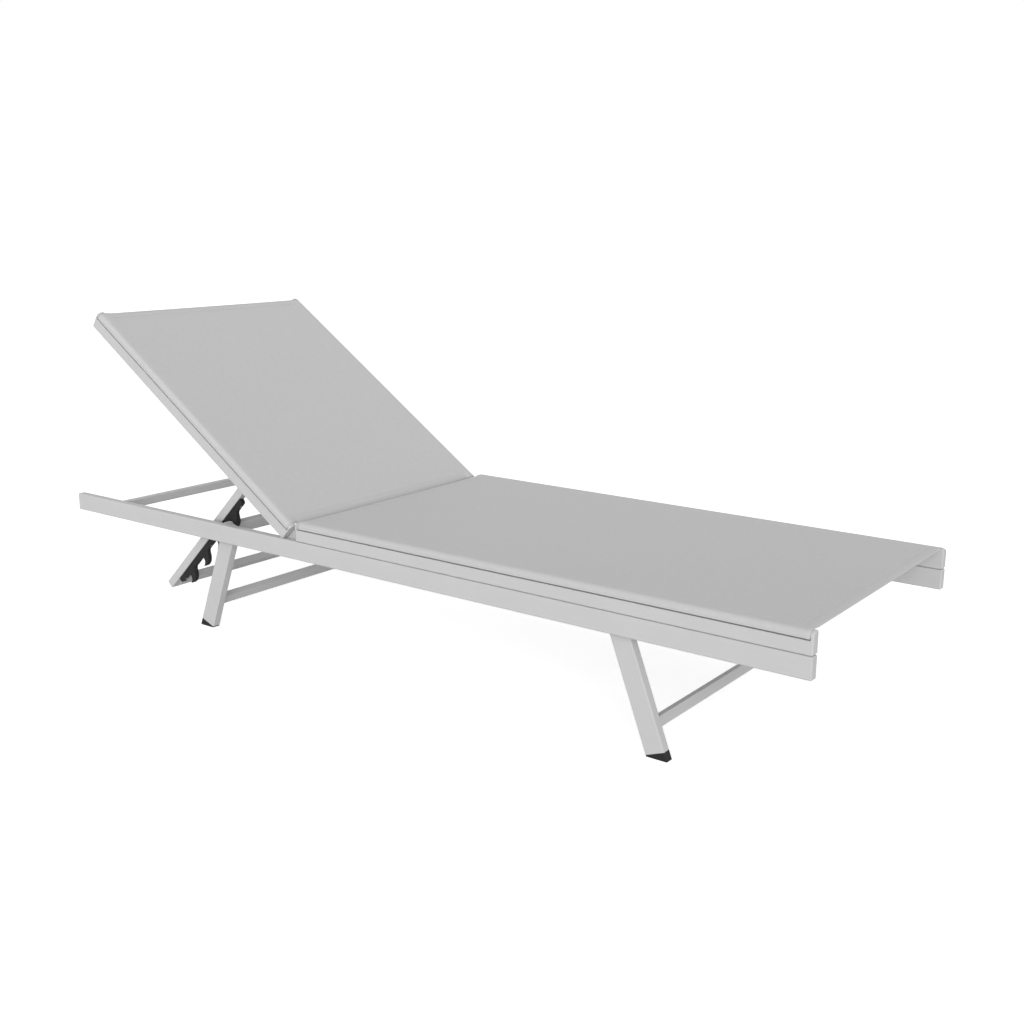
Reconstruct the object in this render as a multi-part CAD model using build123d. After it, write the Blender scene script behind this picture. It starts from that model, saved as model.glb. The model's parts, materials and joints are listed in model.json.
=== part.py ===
# Sun lounger of aluminium tube with a sling seat and a sling backrest on a toothed prop.
# Millimetres. The foot end points along +X, the head end along -X and Z is up.
# The origin is on the ground under the middle of the frame.
# Right and left are those of a person who lies on it, so right is -Y.
# The backrest is raised, with its prop hooked on the latch bar by the first notch.
import os
from math import atan2, cos, radians, sin, tan

from build123d import *

os.makedirs("parts", exist_ok=True)

# Whole object
lounger_length = 2000.0
lounger_width = 658.0
rail_underside = 227.0

# Side rails
rail_height = 42.0
rail_thickness = 20.0
rail_edge = 3.0
tube_wall = 1.6
tube_edge = 2.0
cut_overrun = 2.0

# The most that a rounding may take of the wall or half height that carries it
fillet_limit_share = 0.95

# Moulded caps in the tube ends
cap_thickness = 5.5
cap_edge = 2.4
cap_spigot = 14.0
spigot_clearance = 0.2

# Sling cloth with its cord of plastic in the hem
cloth_thickness = 1.0
cloth_clearance = 0.3
cloth_end_gap = 7.0
cord_diameter = 5.0

# Sling profile, an extrusion with a round channel that opens in its outer face
profile_height = 44.5
profile_shoulder = 9.0
profile_inner_edge = 4.0
profile_base_edge = 1.0
shadow_gap_height = 1.9
shadow_gap_depth = 5.0
channel_height = 29.4
channel_bore = 6.8
channel_lip = 1.5
channel_mouth = 5.0
profile_web = 1.6
seat_head_inset = 796.4

# Spreader bars that hold a sling's two profiles apart
spreader_width = 30.0
spreader_height = 15.0
spreader_drop = 30.5
spreader_flange = 3.0
flange_width = 58.0
flange_height = 22.0
flange_screw_spacing = 46.0
flange_screw_diameter = 5.0
flange_screw_head = 9.0
flange_screw_head_height = 3.0
flange_screw_length = 9.0
screw_clearance = 0.05
bolt_head_edge = 1.2
seat_front_spreader_inset = 178.0
seat_head_spreader_inset = 60.0
back_low_spreader_inset = 96.0
back_top_spreader_inset = 48.0

# Head crossbar between the rails
head_bar_size = 20.0
head_bar_inset = 129.0

# Legs, which stand inside the rails
leg_width = 42.0
leg_thickness = 20.0
leg_tilt = 21.0
rear_leg_setback = 197.5
front_leg_inset = 399.0
leg_plug_least = 2.5
leg_plug_spigot = 22.0
low_bar_size = 20.0
low_bar_height_rear = 67.5
low_bar_height_front = 56.5

# Latch bar between the rails, let into the head side of the rear legs and leaning with them
latch_bar_depth = 30.0
latch_bar_thickness = 15.0
latch_bar_height = 249.0
latch_bar_let_in = 6.2

# Hinge of the backrest
hinge_setback = 40.0
hinge_up_in_profile = 18.0
hinge_rail_gap = 1.3
hinge_cap_thickness = 3.0
hinge_end_low = 8.0
hinge_end_high = 16.0
hinge_cloth_gap = 1.3
hinge_pin_diameter = 8.0
hinge_pin_clearance = 0.05
hinge_pin_tip_gap = 1.4
hinge_wall_clearance = 0.5
hinge_head_diameter = 14.0
hinge_head_height = 5.0
hinge_washer_diameter = 20.0
hinge_washer_gap = 0.05
hinge_block_depth = 24.0
plate_thickness = 5.0
plate_relief = 1.0
plate_width = 36.0
plate_top_radius = 14.0
plate_low_margin = 6.0
plate_bolt_diameter = 6.0
plate_bolt_head = 10.0
plate_bolt_head_height = 3.5
plate_bolt_reach = 6.0
plate_bolt_low = 14.0
plate_bolt_spacing = 16.0

# Backrest
back_top_reach = 762.0
back_angle = 34.0

# Prop, a frame of two arms and a bar that hangs from the backrest
prop_pivot = 173.2
prop_angle = 44.75
prop_inset = 43.0
prop_arm_height = 20.0
prop_arm_thickness = 20.0
prop_arm_length = 450.0
prop_arm_edge = 1.5
prop_lug = 14.0
prop_lug_solid = 14.0
prop_bar_size = 20.0
prop_bolt_diameter = 8.0
prop_bolt_clearance = 0.05
prop_bolt_head = 14.0
prop_bolt_head_height = 5.0
prop_bush_diameter = 12.0
prop_bush_flange = 18.0
prop_bush_flange_thickness = 1.5
prop_side_gap = 0.3
prop_spacer_diameter = 16.0
prop_insert_diameter = 11.0
prop_insert_floor = 4.0
seat_clearance = 0.02

# Toothed racks of black plastic under the arms
rack_thickness = 10.0
rack_setback = 3.0
rack_start = 75.0
rack_end = 409.5
rack_back_corner = 3.0
rack_front_corner = 6.0
notch_count = 4
first_notch = 139.5
second_notch = 221.5
notch_pitch = 73.5
notch_floor = 23.3
hook_reach = 23.8
rack_screw_diameter = 4.0
rack_screw_head = 7.5
rack_screw_head_height = 2.2
rack_screw_reach = 5.0
rack_screw_end_margin = 16.0
rack_screw_past_notch = 28.0

# Outline of one hook from the corner of its notch: along the arm as shares of the
# notch pitch, and out from the arm as shares of the hook's reach
lip_shares = ((0.0, 0.0), (-0.022, 0.45), (0.03, 0.69), (0.145, 0.815))
belly_shares = (
    (0.135, 0.9), (0.05, 0.99), (-0.047, 1.0), (-0.15, 0.91), (-0.285, 0.54), (-0.347, 0.215), (-0.44, 0.0))

# Worked out from the sizes above
foot_end = lounger_length / 2
head_end = -foot_end
rail_top = rail_underside + rail_height
outer_face = lounger_width / 2
rail_inner_face = outer_face - rail_thickness
leg_inner_face = rail_inner_face - leg_thickness
cloth_recess = cloth_thickness + cloth_clearance
metal_top = profile_height - cloth_recess
hollow_floor = shadow_gap_height + tube_wall
channel_across = channel_lip + channel_bore / 2
channel_floor = channel_height - channel_bore / 2 - profile_web
hem_start = channel_across - cord_diameter / 2 - cloth_clearance
seat_head_end = head_end + seat_head_inset
hinge_x = seat_head_end - hinge_setback
rear_leg_x = hinge_x - rear_leg_setback
front_leg_x = foot_end - front_leg_inset
hinge_z = rail_top + hinge_rail_gap + hinge_up_in_profile
low_end_tilt = atan2(hinge_end_high - hinge_end_low, profile_height)
low_cap_setback = hinge_cap_thickness / cos(low_end_tilt)
hinge_place = Location((hinge_x, 0, hinge_z)) * Rotation(0, back_angle, 0)
prop_x = hinge_x - prop_pivot * cos(radians(back_angle))
prop_z = hinge_z + prop_pivot * sin(radians(back_angle))
prop_place = Location((prop_x, 0, prop_z)) * Rotation(0, -prop_angle, 0)
prop_outer_face = outer_face - prop_inset
prop_inner_face = prop_outer_face - prop_arm_thickness
rack_outer_face = prop_outer_face - rack_setback
rack_middle_face = rack_outer_face - rack_thickness / 2
nodes = {}


def left_of(shape):
    """The same piece on the left side."""
    return mirror(shape, about=Plane.XZ)


def pair(name, shape):
    """Store a right piece and its mirror image as two nodes."""
    nodes[f"{name}_right"] = shape
    nodes[f"{name}_left"] = left_of(shape)


def along_x(shape, x, y, z):
    """Stand a piece that was drawn across and up on the plane at x, looking along +X."""
    return Plane(origin=(x, y, z), x_dir=(0, 1, 0), z_dir=(1, 0, 0)) * shape


def along_y(shape, x, y, z):
    """Lay a piece that was drawn along +Z so that it runs from y towards +Y."""
    return Plane(origin=(x, y, z), x_dir=(1, 0, 0), z_dir=(0, 1, 0)) * shape


def ring(outer, inner, height):
    """Washer, bush or spacer that stands on its plane."""
    return extrude(Circle(outer / 2) - Circle(inner / 2), height)


def box_tube(width, height, length, edge=tube_edge):
    """Rounded tube that runs from its plane, with its bore open at both ends."""
    bore = Rectangle(width - 2 * tube_wall, height - 2 * tube_wall)
    return extrude(RectangleRounded(width, height, edge) - bore, length)


def headed_bolt(shank, shank_length, head, head_height):
    """Bolt whose head stands on its plane and whose shank runs down from it."""
    body = extrude(Circle(shank / 2), -shank_length)
    cap = extrude(Circle(head / 2), head_height)
    rim = cap.edges().filter_by(GeomType.CIRCLE).sort_by(Axis.Z)[-1]
    cap = fillet(rim, min(bolt_head_edge, head_height * fillet_limit_share))
    return body + cap


def outline(points, radii):
    """Face inside a closed line of points, each corner with its radius."""
    return make_face(FilletPolyline(points, radius=radii, close=True))


def rounded_plate(face, thickness, edge):
    """Cap plate on its plane with its outer rim rounded."""
    plate = extrude(face, thickness)
    return fillet(plate.faces().sort_by(Axis.Z)[-1].edges(), min(edge, thickness * fillet_limit_share))


# Sling profile, drawn across from its outer face and up from its base
def profile_face():
    """Section of the metal profile with its channel, two hollows and a narrower foot."""
    metal = outline(
        [(0, shadow_gap_height), (rail_thickness, shadow_gap_height), (rail_thickness, metal_top),
         (cloth_recess, metal_top), (cloth_recess, channel_height), (0, channel_height)],
        [profile_base_edge, profile_base_edge, profile_inner_edge, profile_shoulder, 0, 0])
    foot_width = rail_thickness - 2 * shadow_gap_depth
    foot_height = shadow_gap_height + tube_wall
    metal += Pos(rail_thickness / 2, foot_height / 2) * Rectangle(foot_width, foot_height)
    low_height = channel_floor - hollow_floor
    hollow_width = rail_thickness - 2 * tube_wall
    low_hollow = Pos(rail_thickness / 2, hollow_floor + low_height / 2) * Rectangle(hollow_width, low_height)
    side_start = channel_across + channel_bore / 2 + profile_web
    side_width = rail_thickness - tube_wall - side_start
    side_floor = channel_floor + profile_web
    side_height = metal_top - 2 * tube_wall - side_floor
    side_middle = Pos(side_start + side_width / 2, side_floor + side_height / 2)
    side_hollow = side_middle * Rectangle(side_width, side_height)
    bore = Pos(channel_across, channel_height) * Circle(channel_bore / 2)
    mouth = Pos(channel_across / 2, channel_height) * Rectangle(channel_across, channel_mouth)
    return metal - low_hollow - side_hollow - bore - mouth


def profile_cap_face():
    """Outline of the cap that closes a profile."""
    return outline(
        [(0, shadow_gap_height), (rail_thickness, shadow_gap_height), (rail_thickness, metal_top),
         (0, metal_top)],
        [profile_base_edge, profile_base_edge, profile_inner_edge, profile_shoulder + cloth_recess])


def hollow_plug(depth):
    """Block that fills the lower hollow of a profile, behind a cap."""
    width = rail_thickness - 2 * tube_wall - 2 * spigot_clearance
    height = channel_floor - hollow_floor - 2 * spigot_clearance
    face = Pos(rail_thickness / 2, hollow_floor + spigot_clearance + height / 2) * Rectangle(width, height)
    return extrude(face, -depth)


def profile_cap(depth):
    """Cap on a profile's end that faces along its plane, with its block behind it."""
    return rounded_plate(profile_cap_face(), cap_thickness, cap_edge) + hollow_plug(depth)


def sling_face():
    """Section of the taut cloth from one channel, over both profiles, to the other."""
    low = channel_height - cloth_thickness / 2
    high = channel_height + cloth_thickness / 2
    over = profile_height
    under = profile_height - cloth_thickness
    far = lounger_width
    outer_turn = profile_shoulder + cloth_recess
    inner_turn = profile_shoulder + cloth_clearance
    return outline(
        [(hem_start, low), (0, low), (0, over), (far, over), (far, low), (far - hem_start, low),
         (far - hem_start, high), (far - cloth_thickness, high), (far - cloth_thickness, under),
         (cloth_thickness, under), (cloth_thickness, high), (hem_start, high)],
        [0, cloth_thickness, outer_turn, outer_turn, cloth_thickness, 0, 0, 0, inner_turn, inner_turn, 0, 0])


def sling(start, end):
    """Cloth that runs along X between two places, over a base at Z 0."""
    return along_x(extrude(sling_face(), end - start), start, -outer_face, 0)


def sling_cord(start, end):
    """Hem cord in the right channel."""
    face = Pos(channel_across, channel_height) * Circle(cord_diameter / 2)
    return along_x(extrude(face, end - start), start, -outer_face, 0)


def sling_profile(start, end):
    """Right profile along X between its two caps, over a base at Z 0."""
    return along_x(extrude(profile_face(), end - start), start, -outer_face, 0)


def cap_towards_foot(x, depth):
    """Right cap whose outer side looks along +X, over a base at Z 0."""
    return along_x(profile_cap(depth), x, -outer_face, 0)


def cap_towards_head(x, depth):
    """Right cap whose outer side looks along -X, over a base at Z 0."""
    return mirror(cap_towards_foot(-x, depth), about=Plane.YZ)


def flange_screw_places(x):
    """Two places along X for the screws of a spreader at x."""
    return (x - flange_screw_spacing / 2, x + flange_screw_spacing / 2)


def spreader_z():
    """Height of a spreader's axis over the base of its profiles."""
    return profile_height - spreader_drop


def spreader(x):
    """Bar with a flange at each end, between the profiles, over a base at Z 0."""
    reach = rail_inner_face - spreader_flange
    tube = along_y(box_tube(spreader_width, spreader_height, 2 * reach), x, -reach, spreader_z())
    plate = RectangleRounded(flange_width, flange_height, tube_edge)
    hole = Circle(flange_screw_diameter / 2 + screw_clearance)
    holes = [Pos(place - x, 0) * hole for place in flange_screw_places(x)]
    flange = along_y(extrude(plate - holes, spreader_flange), x, -rail_inner_face, spreader_z())
    return tube + flange + left_of(flange)


def spreader_screws(x):
    """Four screws of one spreader, with their heads towards the middle."""
    shank = flange_screw_length
    screw = headed_bolt(flange_screw_diameter, shank, flange_screw_head, flange_screw_head_height)
    head_face = -rail_inner_face + spreader_flange
    right = [along_y(screw, place, head_face, spreader_z()) for place in flange_screw_places(x)]
    return right + [left_of(one) for one in right]


def drilled(profile, xs):
    """Right profile with the screw holes of the spreaders at these places."""
    depth = tube_wall + cut_overrun
    hole = extrude(Circle(flange_screw_diameter / 2 + screw_clearance), depth)
    for x in xs:
        for place in flange_screw_places(x):
            profile -= along_y(hole, place, -rail_inner_face - depth, spreader_z())
    return profile


# Frame
def build_rails():
    """Two side rails with a cap in each end."""
    tube_length = lounger_length - 2 * cap_thickness
    y = -outer_face + rail_thickness / 2
    z = rail_underside + rail_height / 2
    rail = along_x(box_tube(rail_thickness, rail_height, tube_length, rail_edge), -tube_length / 2, y, z)
    depth = tube_wall + cut_overrun
    hole = extrude(Circle(plate_bolt_diameter / 2 + screw_clearance), depth)
    for bolt_z in plate_bolt_heights():
        rail -= along_y(hole, hinge_x, -rail_inner_face - depth, bolt_z)
    pair("side_rail", rail)
    inner_width = rail_thickness - 2 * tube_wall - 2 * spigot_clearance
    inner_height = rail_height - 2 * tube_wall - 2 * spigot_clearance
    cap = rounded_plate(RectangleRounded(rail_thickness, rail_height, rail_edge), cap_thickness, cap_edge)
    cap += extrude(Rectangle(inner_width, inner_height), -cap_spigot)
    foot_cap = along_x(cap, tube_length / 2, y, z)
    head_cap = mirror(foot_cap, about=Plane.YZ)
    nodes["rail_foot_caps"] = [foot_cap, left_of(foot_cap)]
    nodes["rail_head_caps"] = [head_cap, left_of(head_cap)]


def build_seat():
    """Profiles on the rails, their caps, the seat sling and its spreaders."""
    on_rail = Location((0, 0, rail_top))
    start = seat_head_end + cap_thickness
    end = foot_end - cap_thickness
    spreaders = {
        "head": seat_head_end + seat_head_spreader_inset,
        "middle": (seat_head_end + foot_end) / 2,
        "foot": foot_end - seat_front_spreader_inset,
    }
    pair("seat_profile", on_rail * drilled(sling_profile(start, end), spreaders.values()))
    foot_cap = on_rail * cap_towards_foot(end, cap_spigot)
    head_cap = on_rail * cap_towards_head(start, cap_spigot)
    nodes["seat_foot_caps"] = [foot_cap, left_of(foot_cap)]
    nodes["seat_head_caps"] = [head_cap, left_of(head_cap)]
    cloth_start = seat_head_end + cloth_end_gap
    cloth_end = foot_end - cloth_end_gap
    nodes["seat_sling"] = on_rail * sling(cloth_start, cloth_end)
    pair("seat_hem_cord", on_rail * sling_cord(cloth_start, cloth_end))
    screws = []
    for name, x in spreaders.items():
        nodes[f"seat_{name}_spreader"] = on_rail * spreader(x)
        screws += [on_rail * screw for screw in spreader_screws(x)]
    nodes["seat_spreader_screws"] = screws


def build_head_bar():
    """Square bar between the rails near the head end."""
    x = head_end + head_bar_inset
    z = rail_underside + rail_height / 2
    bar = box_tube(head_bar_size, head_bar_size, 2 * rail_inner_face)
    nodes["head_crossbar"] = along_y(bar, x, -rail_inner_face, z)


def leg_axis_x(top_x, lean, z):
    """Where a leg's axis is at a height; lean is 1 where the foot goes to the head end."""
    return top_x - lean * (rail_top - z) * tan(radians(leg_tilt))


def leg_plane(top_x, lean, z, y):
    """Plane across a leg at a height, with its normal up the leg."""
    up = (lean * sin(radians(leg_tilt)), 0, cos(radians(leg_tilt)))
    return Plane(origin=(leg_axis_x(top_x, lean, z), y, z), x_dir=(0, 1, 0), z_dir=up)


def leg_corner_rise():
    """How much higher one corner of a square cut is than the leg's axis."""
    return leg_width / 2 * sin(radians(leg_tilt))


def build_leg(name, top_x, lean):
    """One pair of legs, closed at the top, and the wedge plugs that they stand on."""
    y = -rail_inner_face + leg_thickness / 2
    bottom_z = leg_plug_least + leg_corner_rise()
    top_z = rail_top - leg_corner_rise()
    length = (top_z - bottom_z) / cos(radians(leg_tilt))
    outside = RectangleRounded(leg_thickness, leg_width, tube_edge)
    inside = Rectangle(leg_thickness - 2 * tube_wall, leg_width - 2 * tube_wall)
    place = leg_plane(top_x, lean, bottom_z, y)
    pair(f"{name}_leg", place * (extrude(outside, length) - extrude(inside, length - tube_wall)))
    wedge = split(place * extrude(outside, -leg_width), bisect_by=Plane.XY, keep=Keep.TOP)
    spigot = Rectangle(leg_thickness - 2 * tube_wall - 2 * spigot_clearance,
                       leg_width - 2 * tube_wall - 2 * spigot_clearance)
    pair(f"{name}_foot", wedge + place * extrude(spigot, leg_plug_spigot))


def beside_leg(top_x, lean, z, off_axis, reach):
    """Plane across Y, turned with the legs, beside the axis at a height towards the head end."""
    across = leg_plane(top_x, lean, z, 0)
    to_head = across.z_dir.cross(Vector(0, 1, 0))
    start = across.origin + to_head * off_axis - Vector(0, reach, 0)
    return Plane(origin=start, x_dir=across.z_dir, z_dir=(0, 1, 0))


def low_bar(top_x, lean, z):
    """Square bar between a pair of legs, on their axis."""
    place = beside_leg(top_x, lean, z, 0, leg_inner_face)
    return place * box_tube(low_bar_size, low_bar_size, 2 * leg_inner_face)


def build_legs():
    """Legs, the bars between them and the latch bar, which the rear legs are cut round."""
    build_leg("rear", rear_leg_x, 1)
    build_leg("front", front_leg_x, -1)
    nodes["rear_low_bar"] = low_bar(rear_leg_x, 1, low_bar_height_rear)
    nodes["front_low_bar"] = low_bar(front_leg_x, -1, low_bar_height_front)
    off_axis = leg_width / 2 + latch_bar_thickness / 2 - latch_bar_let_in
    axis_z = latch_bar_height - off_axis * sin(radians(leg_tilt))
    place = beside_leg(rear_leg_x, 1, axis_z, off_axis, rail_inner_face)
    length = 2 * rail_inner_face
    nodes["latch_bar"] = place * box_tube(latch_bar_depth, latch_bar_thickness, length)
    room = place * extrude(RectangleRounded(latch_bar_depth, latch_bar_thickness, tube_edge), length)
    nodes["rear_leg_right"] -= room
    nodes["rear_leg_left"] -= room


# Hinge
def plate_bolt_heights():
    """Heights of the bolts that hold a hinge plate to its rail."""
    low = rail_underside + plate_bolt_low
    return (low, low + plate_bolt_spacing)


def build_hinge():
    """Plates on the rails' inner faces with their bolts, pins and washers."""
    foot_z = rail_underside + plate_low_margin
    straight = hinge_z - foot_z
    blade = Pos(0, straight / 2) * Rectangle(plate_width, straight)
    blade += Pos(0, straight) * Circle(plate_top_radius)
    corners = [point for point in blade.vertices() if abs(point.Y) < tube_edge]
    blade = fillet(corners, tube_edge)
    blade -= Pos(0, straight) * Circle(hinge_pin_diameter / 2 + screw_clearance)
    for z in plate_bolt_heights():
        blade -= Pos(0, z - foot_z) * Circle(plate_bolt_diameter / 2 + screw_clearance)
    standing = Plane(origin=(hinge_x, -rail_inner_face, foot_z), x_dir=(1, 0, 0), z_dir=(0, -1, 0))
    plate = standing * extrude(blade, -plate_thickness)
    relief_height = straight + plate_top_radius - (rail_top - foot_z)
    relief = Pos(0, rail_top - foot_z + relief_height / 2) * Rectangle(plate_width, relief_height)
    plate -= standing * extrude(relief, -plate_relief)
    pair("hinge_plate", plate)
    shank = plate_thickness + plate_bolt_reach
    bolt = headed_bolt(plate_bolt_diameter, shank, plate_bolt_head, plate_bolt_head_height)
    inner_side = -rail_inner_face + plate_thickness
    bolts = [along_y(bolt, hinge_x, inner_side, z) for z in plate_bolt_heights()]
    nodes["hinge_plate_bolts"] = bolts + [left_of(one) for one in bolts]
    pin_length = plate_thickness + rail_thickness - tube_wall - hinge_pin_tip_gap
    pin = headed_bolt(hinge_pin_diameter, pin_length, hinge_head_diameter, hinge_head_height)
    pair("hinge_pin", along_y(pin, hinge_x, inner_side, hinge_z))
    washer_bore = hinge_pin_diameter + 2 * screw_clearance
    washer = ring(hinge_washer_diameter, washer_bore, plate_relief - 2 * hinge_washer_gap)
    right = along_y(washer, hinge_x, -rail_inner_face + hinge_washer_gap, hinge_z)
    nodes["hinge_washers"] = [right, left_of(right)]


# Backrest, drawn flat over a base at Z 0 with its hinge axis at X 0, then raised
def raised(shape):
    """Put a piece of the flat backrest on the hinge at its angle."""
    return hinge_place * (Location((0, 0, -hinge_up_in_profile)) * shape)


def pin_bore(radius, depth, x):
    """Round hole in the right profile's inner side at hinge height."""
    return along_y(extrude(Circle(radius), depth), x, -rail_inner_face - depth, hinge_up_in_profile)


def slant_place(height):
    """Where the backrest's slanting low end lies along X at a height over the base."""
    return hinge_end_low + (hinge_end_high - hinge_end_low) * height / profile_height


def beyond_low_end(setback):
    """Everything footward of the slanting low end, set back along X."""
    low = slant_place(-cut_overrun) - setback
    high = slant_place(profile_height + cut_overrun) - setback
    far = high + hinge_block_depth
    face = outline([(low, -cut_overrun), (far, -cut_overrun), (far, profile_height + cut_overrun),
                    (high, profile_height + cut_overrun)], [0, 0, 0, 0])
    return extrude(Plane.XZ * face, outer_face, both=True)


def hinge_block():
    """Slanting cap of the right profile's low end, with its plug bored for the pin."""
    corner = (hinge_end_low - low_cap_setback, -outer_face, 0)
    slant = Plane(origin=corner, x_dir=(0, 1, 0), z_dir=(cos(low_end_tilt), 0, -sin(low_end_tilt)))
    plate = slant * rounded_plate(profile_cap_face(), hinge_cap_thickness, cap_edge)
    plug = along_x(hollow_plug(hinge_end_high + hinge_block_depth), hinge_end_high, -outer_face, 0)
    plug -= beyond_low_end(low_cap_setback)
    return plate + plug - pin_bore(hinge_pin_diameter / 2 + hinge_pin_clearance, rail_thickness, 0)


def build_backrest():
    """Profiles with their caps and hinge blocks, the sling and its spreaders."""
    top_end = -back_top_reach
    start = top_end + cap_thickness
    spreaders = {"low": hinge_end_low - back_low_spreader_inset, "top": top_end + back_top_spreader_inset}
    profile = drilled(sling_profile(start, hinge_end_high), spreaders.values())
    profile -= beyond_low_end(low_cap_setback)
    profile -= pin_bore(hinge_pin_diameter / 2 + hinge_wall_clearance, tube_wall + cut_overrun, 0)
    profile -= pin_bore(prop_insert_diameter / 2 + seat_clearance, tube_wall + cut_overrun, -prop_pivot)
    pair("back_profile", raised(profile))
    pair("back_hinge_block", raised(hinge_block()))
    pair("back_top_cap", raised(cap_towards_head(start, cap_spigot)))
    cloth_start = top_end + cloth_end_gap
    cloth_end = slant_place(channel_floor) - low_cap_setback - hinge_cloth_gap
    nodes["back_sling"] = raised(sling(cloth_start, cloth_end))
    pair("back_hem_cord", raised(sling_cord(cloth_start, cloth_end)))
    screws = []
    for name, x in spreaders.items():
        nodes[f"back_{name}_spreader"] = raised(spreader(x))
        screws += [raised(screw) for screw in spreader_screws(x)]
    nodes["back_spreader_screws"] = screws


# Prop, drawn flat with its pivot at the origin, running along -X, then hung
def hung(shape):
    """Put a piece of the flat prop on its pivot at its angle."""
    return prop_place * shape


def build_prop_pivots():
    """Inserts, spacers and bolts that carry the prop on the backrest, and its bushes."""
    insert_length = rail_thickness - tube_wall - spigot_clearance
    insert = extrude(Circle(prop_insert_diameter / 2), insert_length)
    thread_depth = insert_length - prop_insert_floor
    insert_start = -outer_face + tube_wall + spigot_clearance
    insert = along_y(insert, 0, insert_start, 0)
    bore = extrude(Circle(prop_bolt_diameter / 2 + prop_bolt_clearance), thread_depth)
    insert -= along_y(bore, 0, -rail_inner_face - thread_depth, 0)
    flange_room = prop_bush_flange_thickness + prop_side_gap
    spacer_length = prop_inset - rail_thickness - flange_room
    spacer = ring(prop_spacer_diameter, prop_bolt_diameter + 2 * prop_bolt_clearance, spacer_length)
    spacer = along_y(spacer, 0, -rail_inner_face, 0)
    head_face = -prop_inner_face + flange_room
    shank = head_face + rail_inner_face + thread_depth - screw_clearance
    bolt = headed_bolt(prop_bolt_diameter, shank, prop_bolt_head, prop_bolt_head_height)
    bolt = along_y(bolt, 0, head_face, 0)
    pivot = Location((prop_x, 0, prop_z)) * Rotation(0, back_angle, 0)
    nodes["prop_pivot_inserts"] = [pivot * insert, left_of(pivot * insert)]
    nodes["prop_pivot_spacers"] = [pivot * spacer, left_of(pivot * spacer)]
    pair("prop_pivot_bolt", pivot * bolt)
    bore_diameter = prop_bolt_diameter + 2 * prop_bolt_clearance
    sleeve = ring(prop_bush_diameter, bore_diameter, prop_arm_thickness)
    flange = ring(prop_bush_flange, bore_diameter, prop_bush_flange_thickness)
    bush = along_y(sleeve, 0, -prop_outer_face, 0)
    bush += along_y(flange, 0, -prop_outer_face - prop_bush_flange_thickness, 0)
    bush += along_y(flange, 0, -prop_inner_face, 0)
    pair("prop_bush", hung(bush))


def build_prop_frame():
    """Two arms, each with a round lug at its pivot, and the bar between their ends."""
    half = prop_arm_height / 2
    face = outline(
        [(prop_lug, -half), (prop_lug, half), (-prop_arm_length, half), (-prop_arm_length, -half)],
        [half * fillet_limit_share, half * fillet_limit_share, tube_edge, tube_edge])
    standing = Plane(origin=(0, -prop_outer_face, 0), x_dir=(1, 0, 0), z_dir=(0, -1, 0))
    arm = standing * extrude(face, -prop_arm_thickness)
    arm = fillet(arm.edges().filter_by(Axis.X), prop_arm_edge)
    hollow_length = prop_arm_length - prop_lug_solid - tube_wall
    hollow = Box(hollow_length, prop_arm_thickness - 2 * tube_wall, prop_arm_height - 2 * tube_wall)
    middle = -prop_lug_solid - hollow_length / 2
    arm -= Pos(middle, -prop_outer_face + prop_arm_thickness / 2, 0) * hollow
    bore = extrude(Circle(prop_bush_diameter / 2 + seat_clearance), prop_arm_thickness)
    arm -= along_y(bore, 0, -prop_outer_face, 0)
    hole = Cylinder(rack_screw_diameter / 2 + screw_clearance, 2 * (tube_wall + cut_overrun))
    for place in rack_screw_places():
        arm -= Pos(-place, -rack_middle_face, -half) * hole
    pair("prop_arm", hung(arm))
    bar = box_tube(prop_bar_size, prop_bar_size, 2 * prop_inner_face)
    x = -prop_arm_length + prop_bar_size / 2
    z = -half + prop_bar_size / 2
    nodes["prop_low_bar"] = hung(along_y(bar, x, -prop_inner_face, z))


def notch_places():
    """Places down the arm where the notches start, the first further from the rest."""
    return [first_notch] + [second_notch + number * notch_pitch for number in range(notch_count - 1)]


def hook_points(shares, notch):
    """Points of a hook's outline for the notch that starts at a place down the arm."""
    return [(notch + along * notch_pitch, notch_floor + out * hook_reach) for along, out in shares]


def rack_face():
    """Outline of a rack: x runs down the arm, y out from the arm's axis."""
    back = prop_arm_height / 2
    front = notch_floor
    back_corner = (rack_back_corner, back + rack_back_corner)
    front_corner = (rack_front_corner, front - rack_front_corner)
    with BuildLine() as line:
        first = (rack_start, front_corner[1])
        side = Line(first, (rack_start, back_corner[1]))
        turn = RadiusArc(side @ 1, (rack_start + back_corner[0], back), -rack_back_corner)
        side = Line(turn @ 1, (rack_end - back_corner[0], back))
        turn = RadiusArc(side @ 1, (rack_end, back_corner[1]), -rack_back_corner)
        side = Line(turn @ 1, (rack_end, front_corner[1]))
        turn = RadiusArc(side @ 1, (rack_end - front_corner[0], front), -rack_front_corner)
        last = turn @ 1
        for notch in reversed(notch_places()):
            lip = hook_points(lip_shares, notch)
            belly = hook_points(belly_shares, notch)
            Line(last, lip[0])
            Spline(*lip)
            Line(lip[-1], belly[0])
            Spline(*belly)
            last = belly[-1]
        side = Line(last, (rack_start + front_corner[0], front))
        RadiusArc(side @ 1, first, -rack_front_corner)
    return make_face(line.line)


def rack_screw_places():
    """Places down the arm of a rack's screws, in its plain ends and past its second notch."""
    middle = second_notch + rack_screw_past_notch
    return (rack_start + rack_screw_end_margin, middle, rack_end - rack_screw_end_margin)


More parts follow.
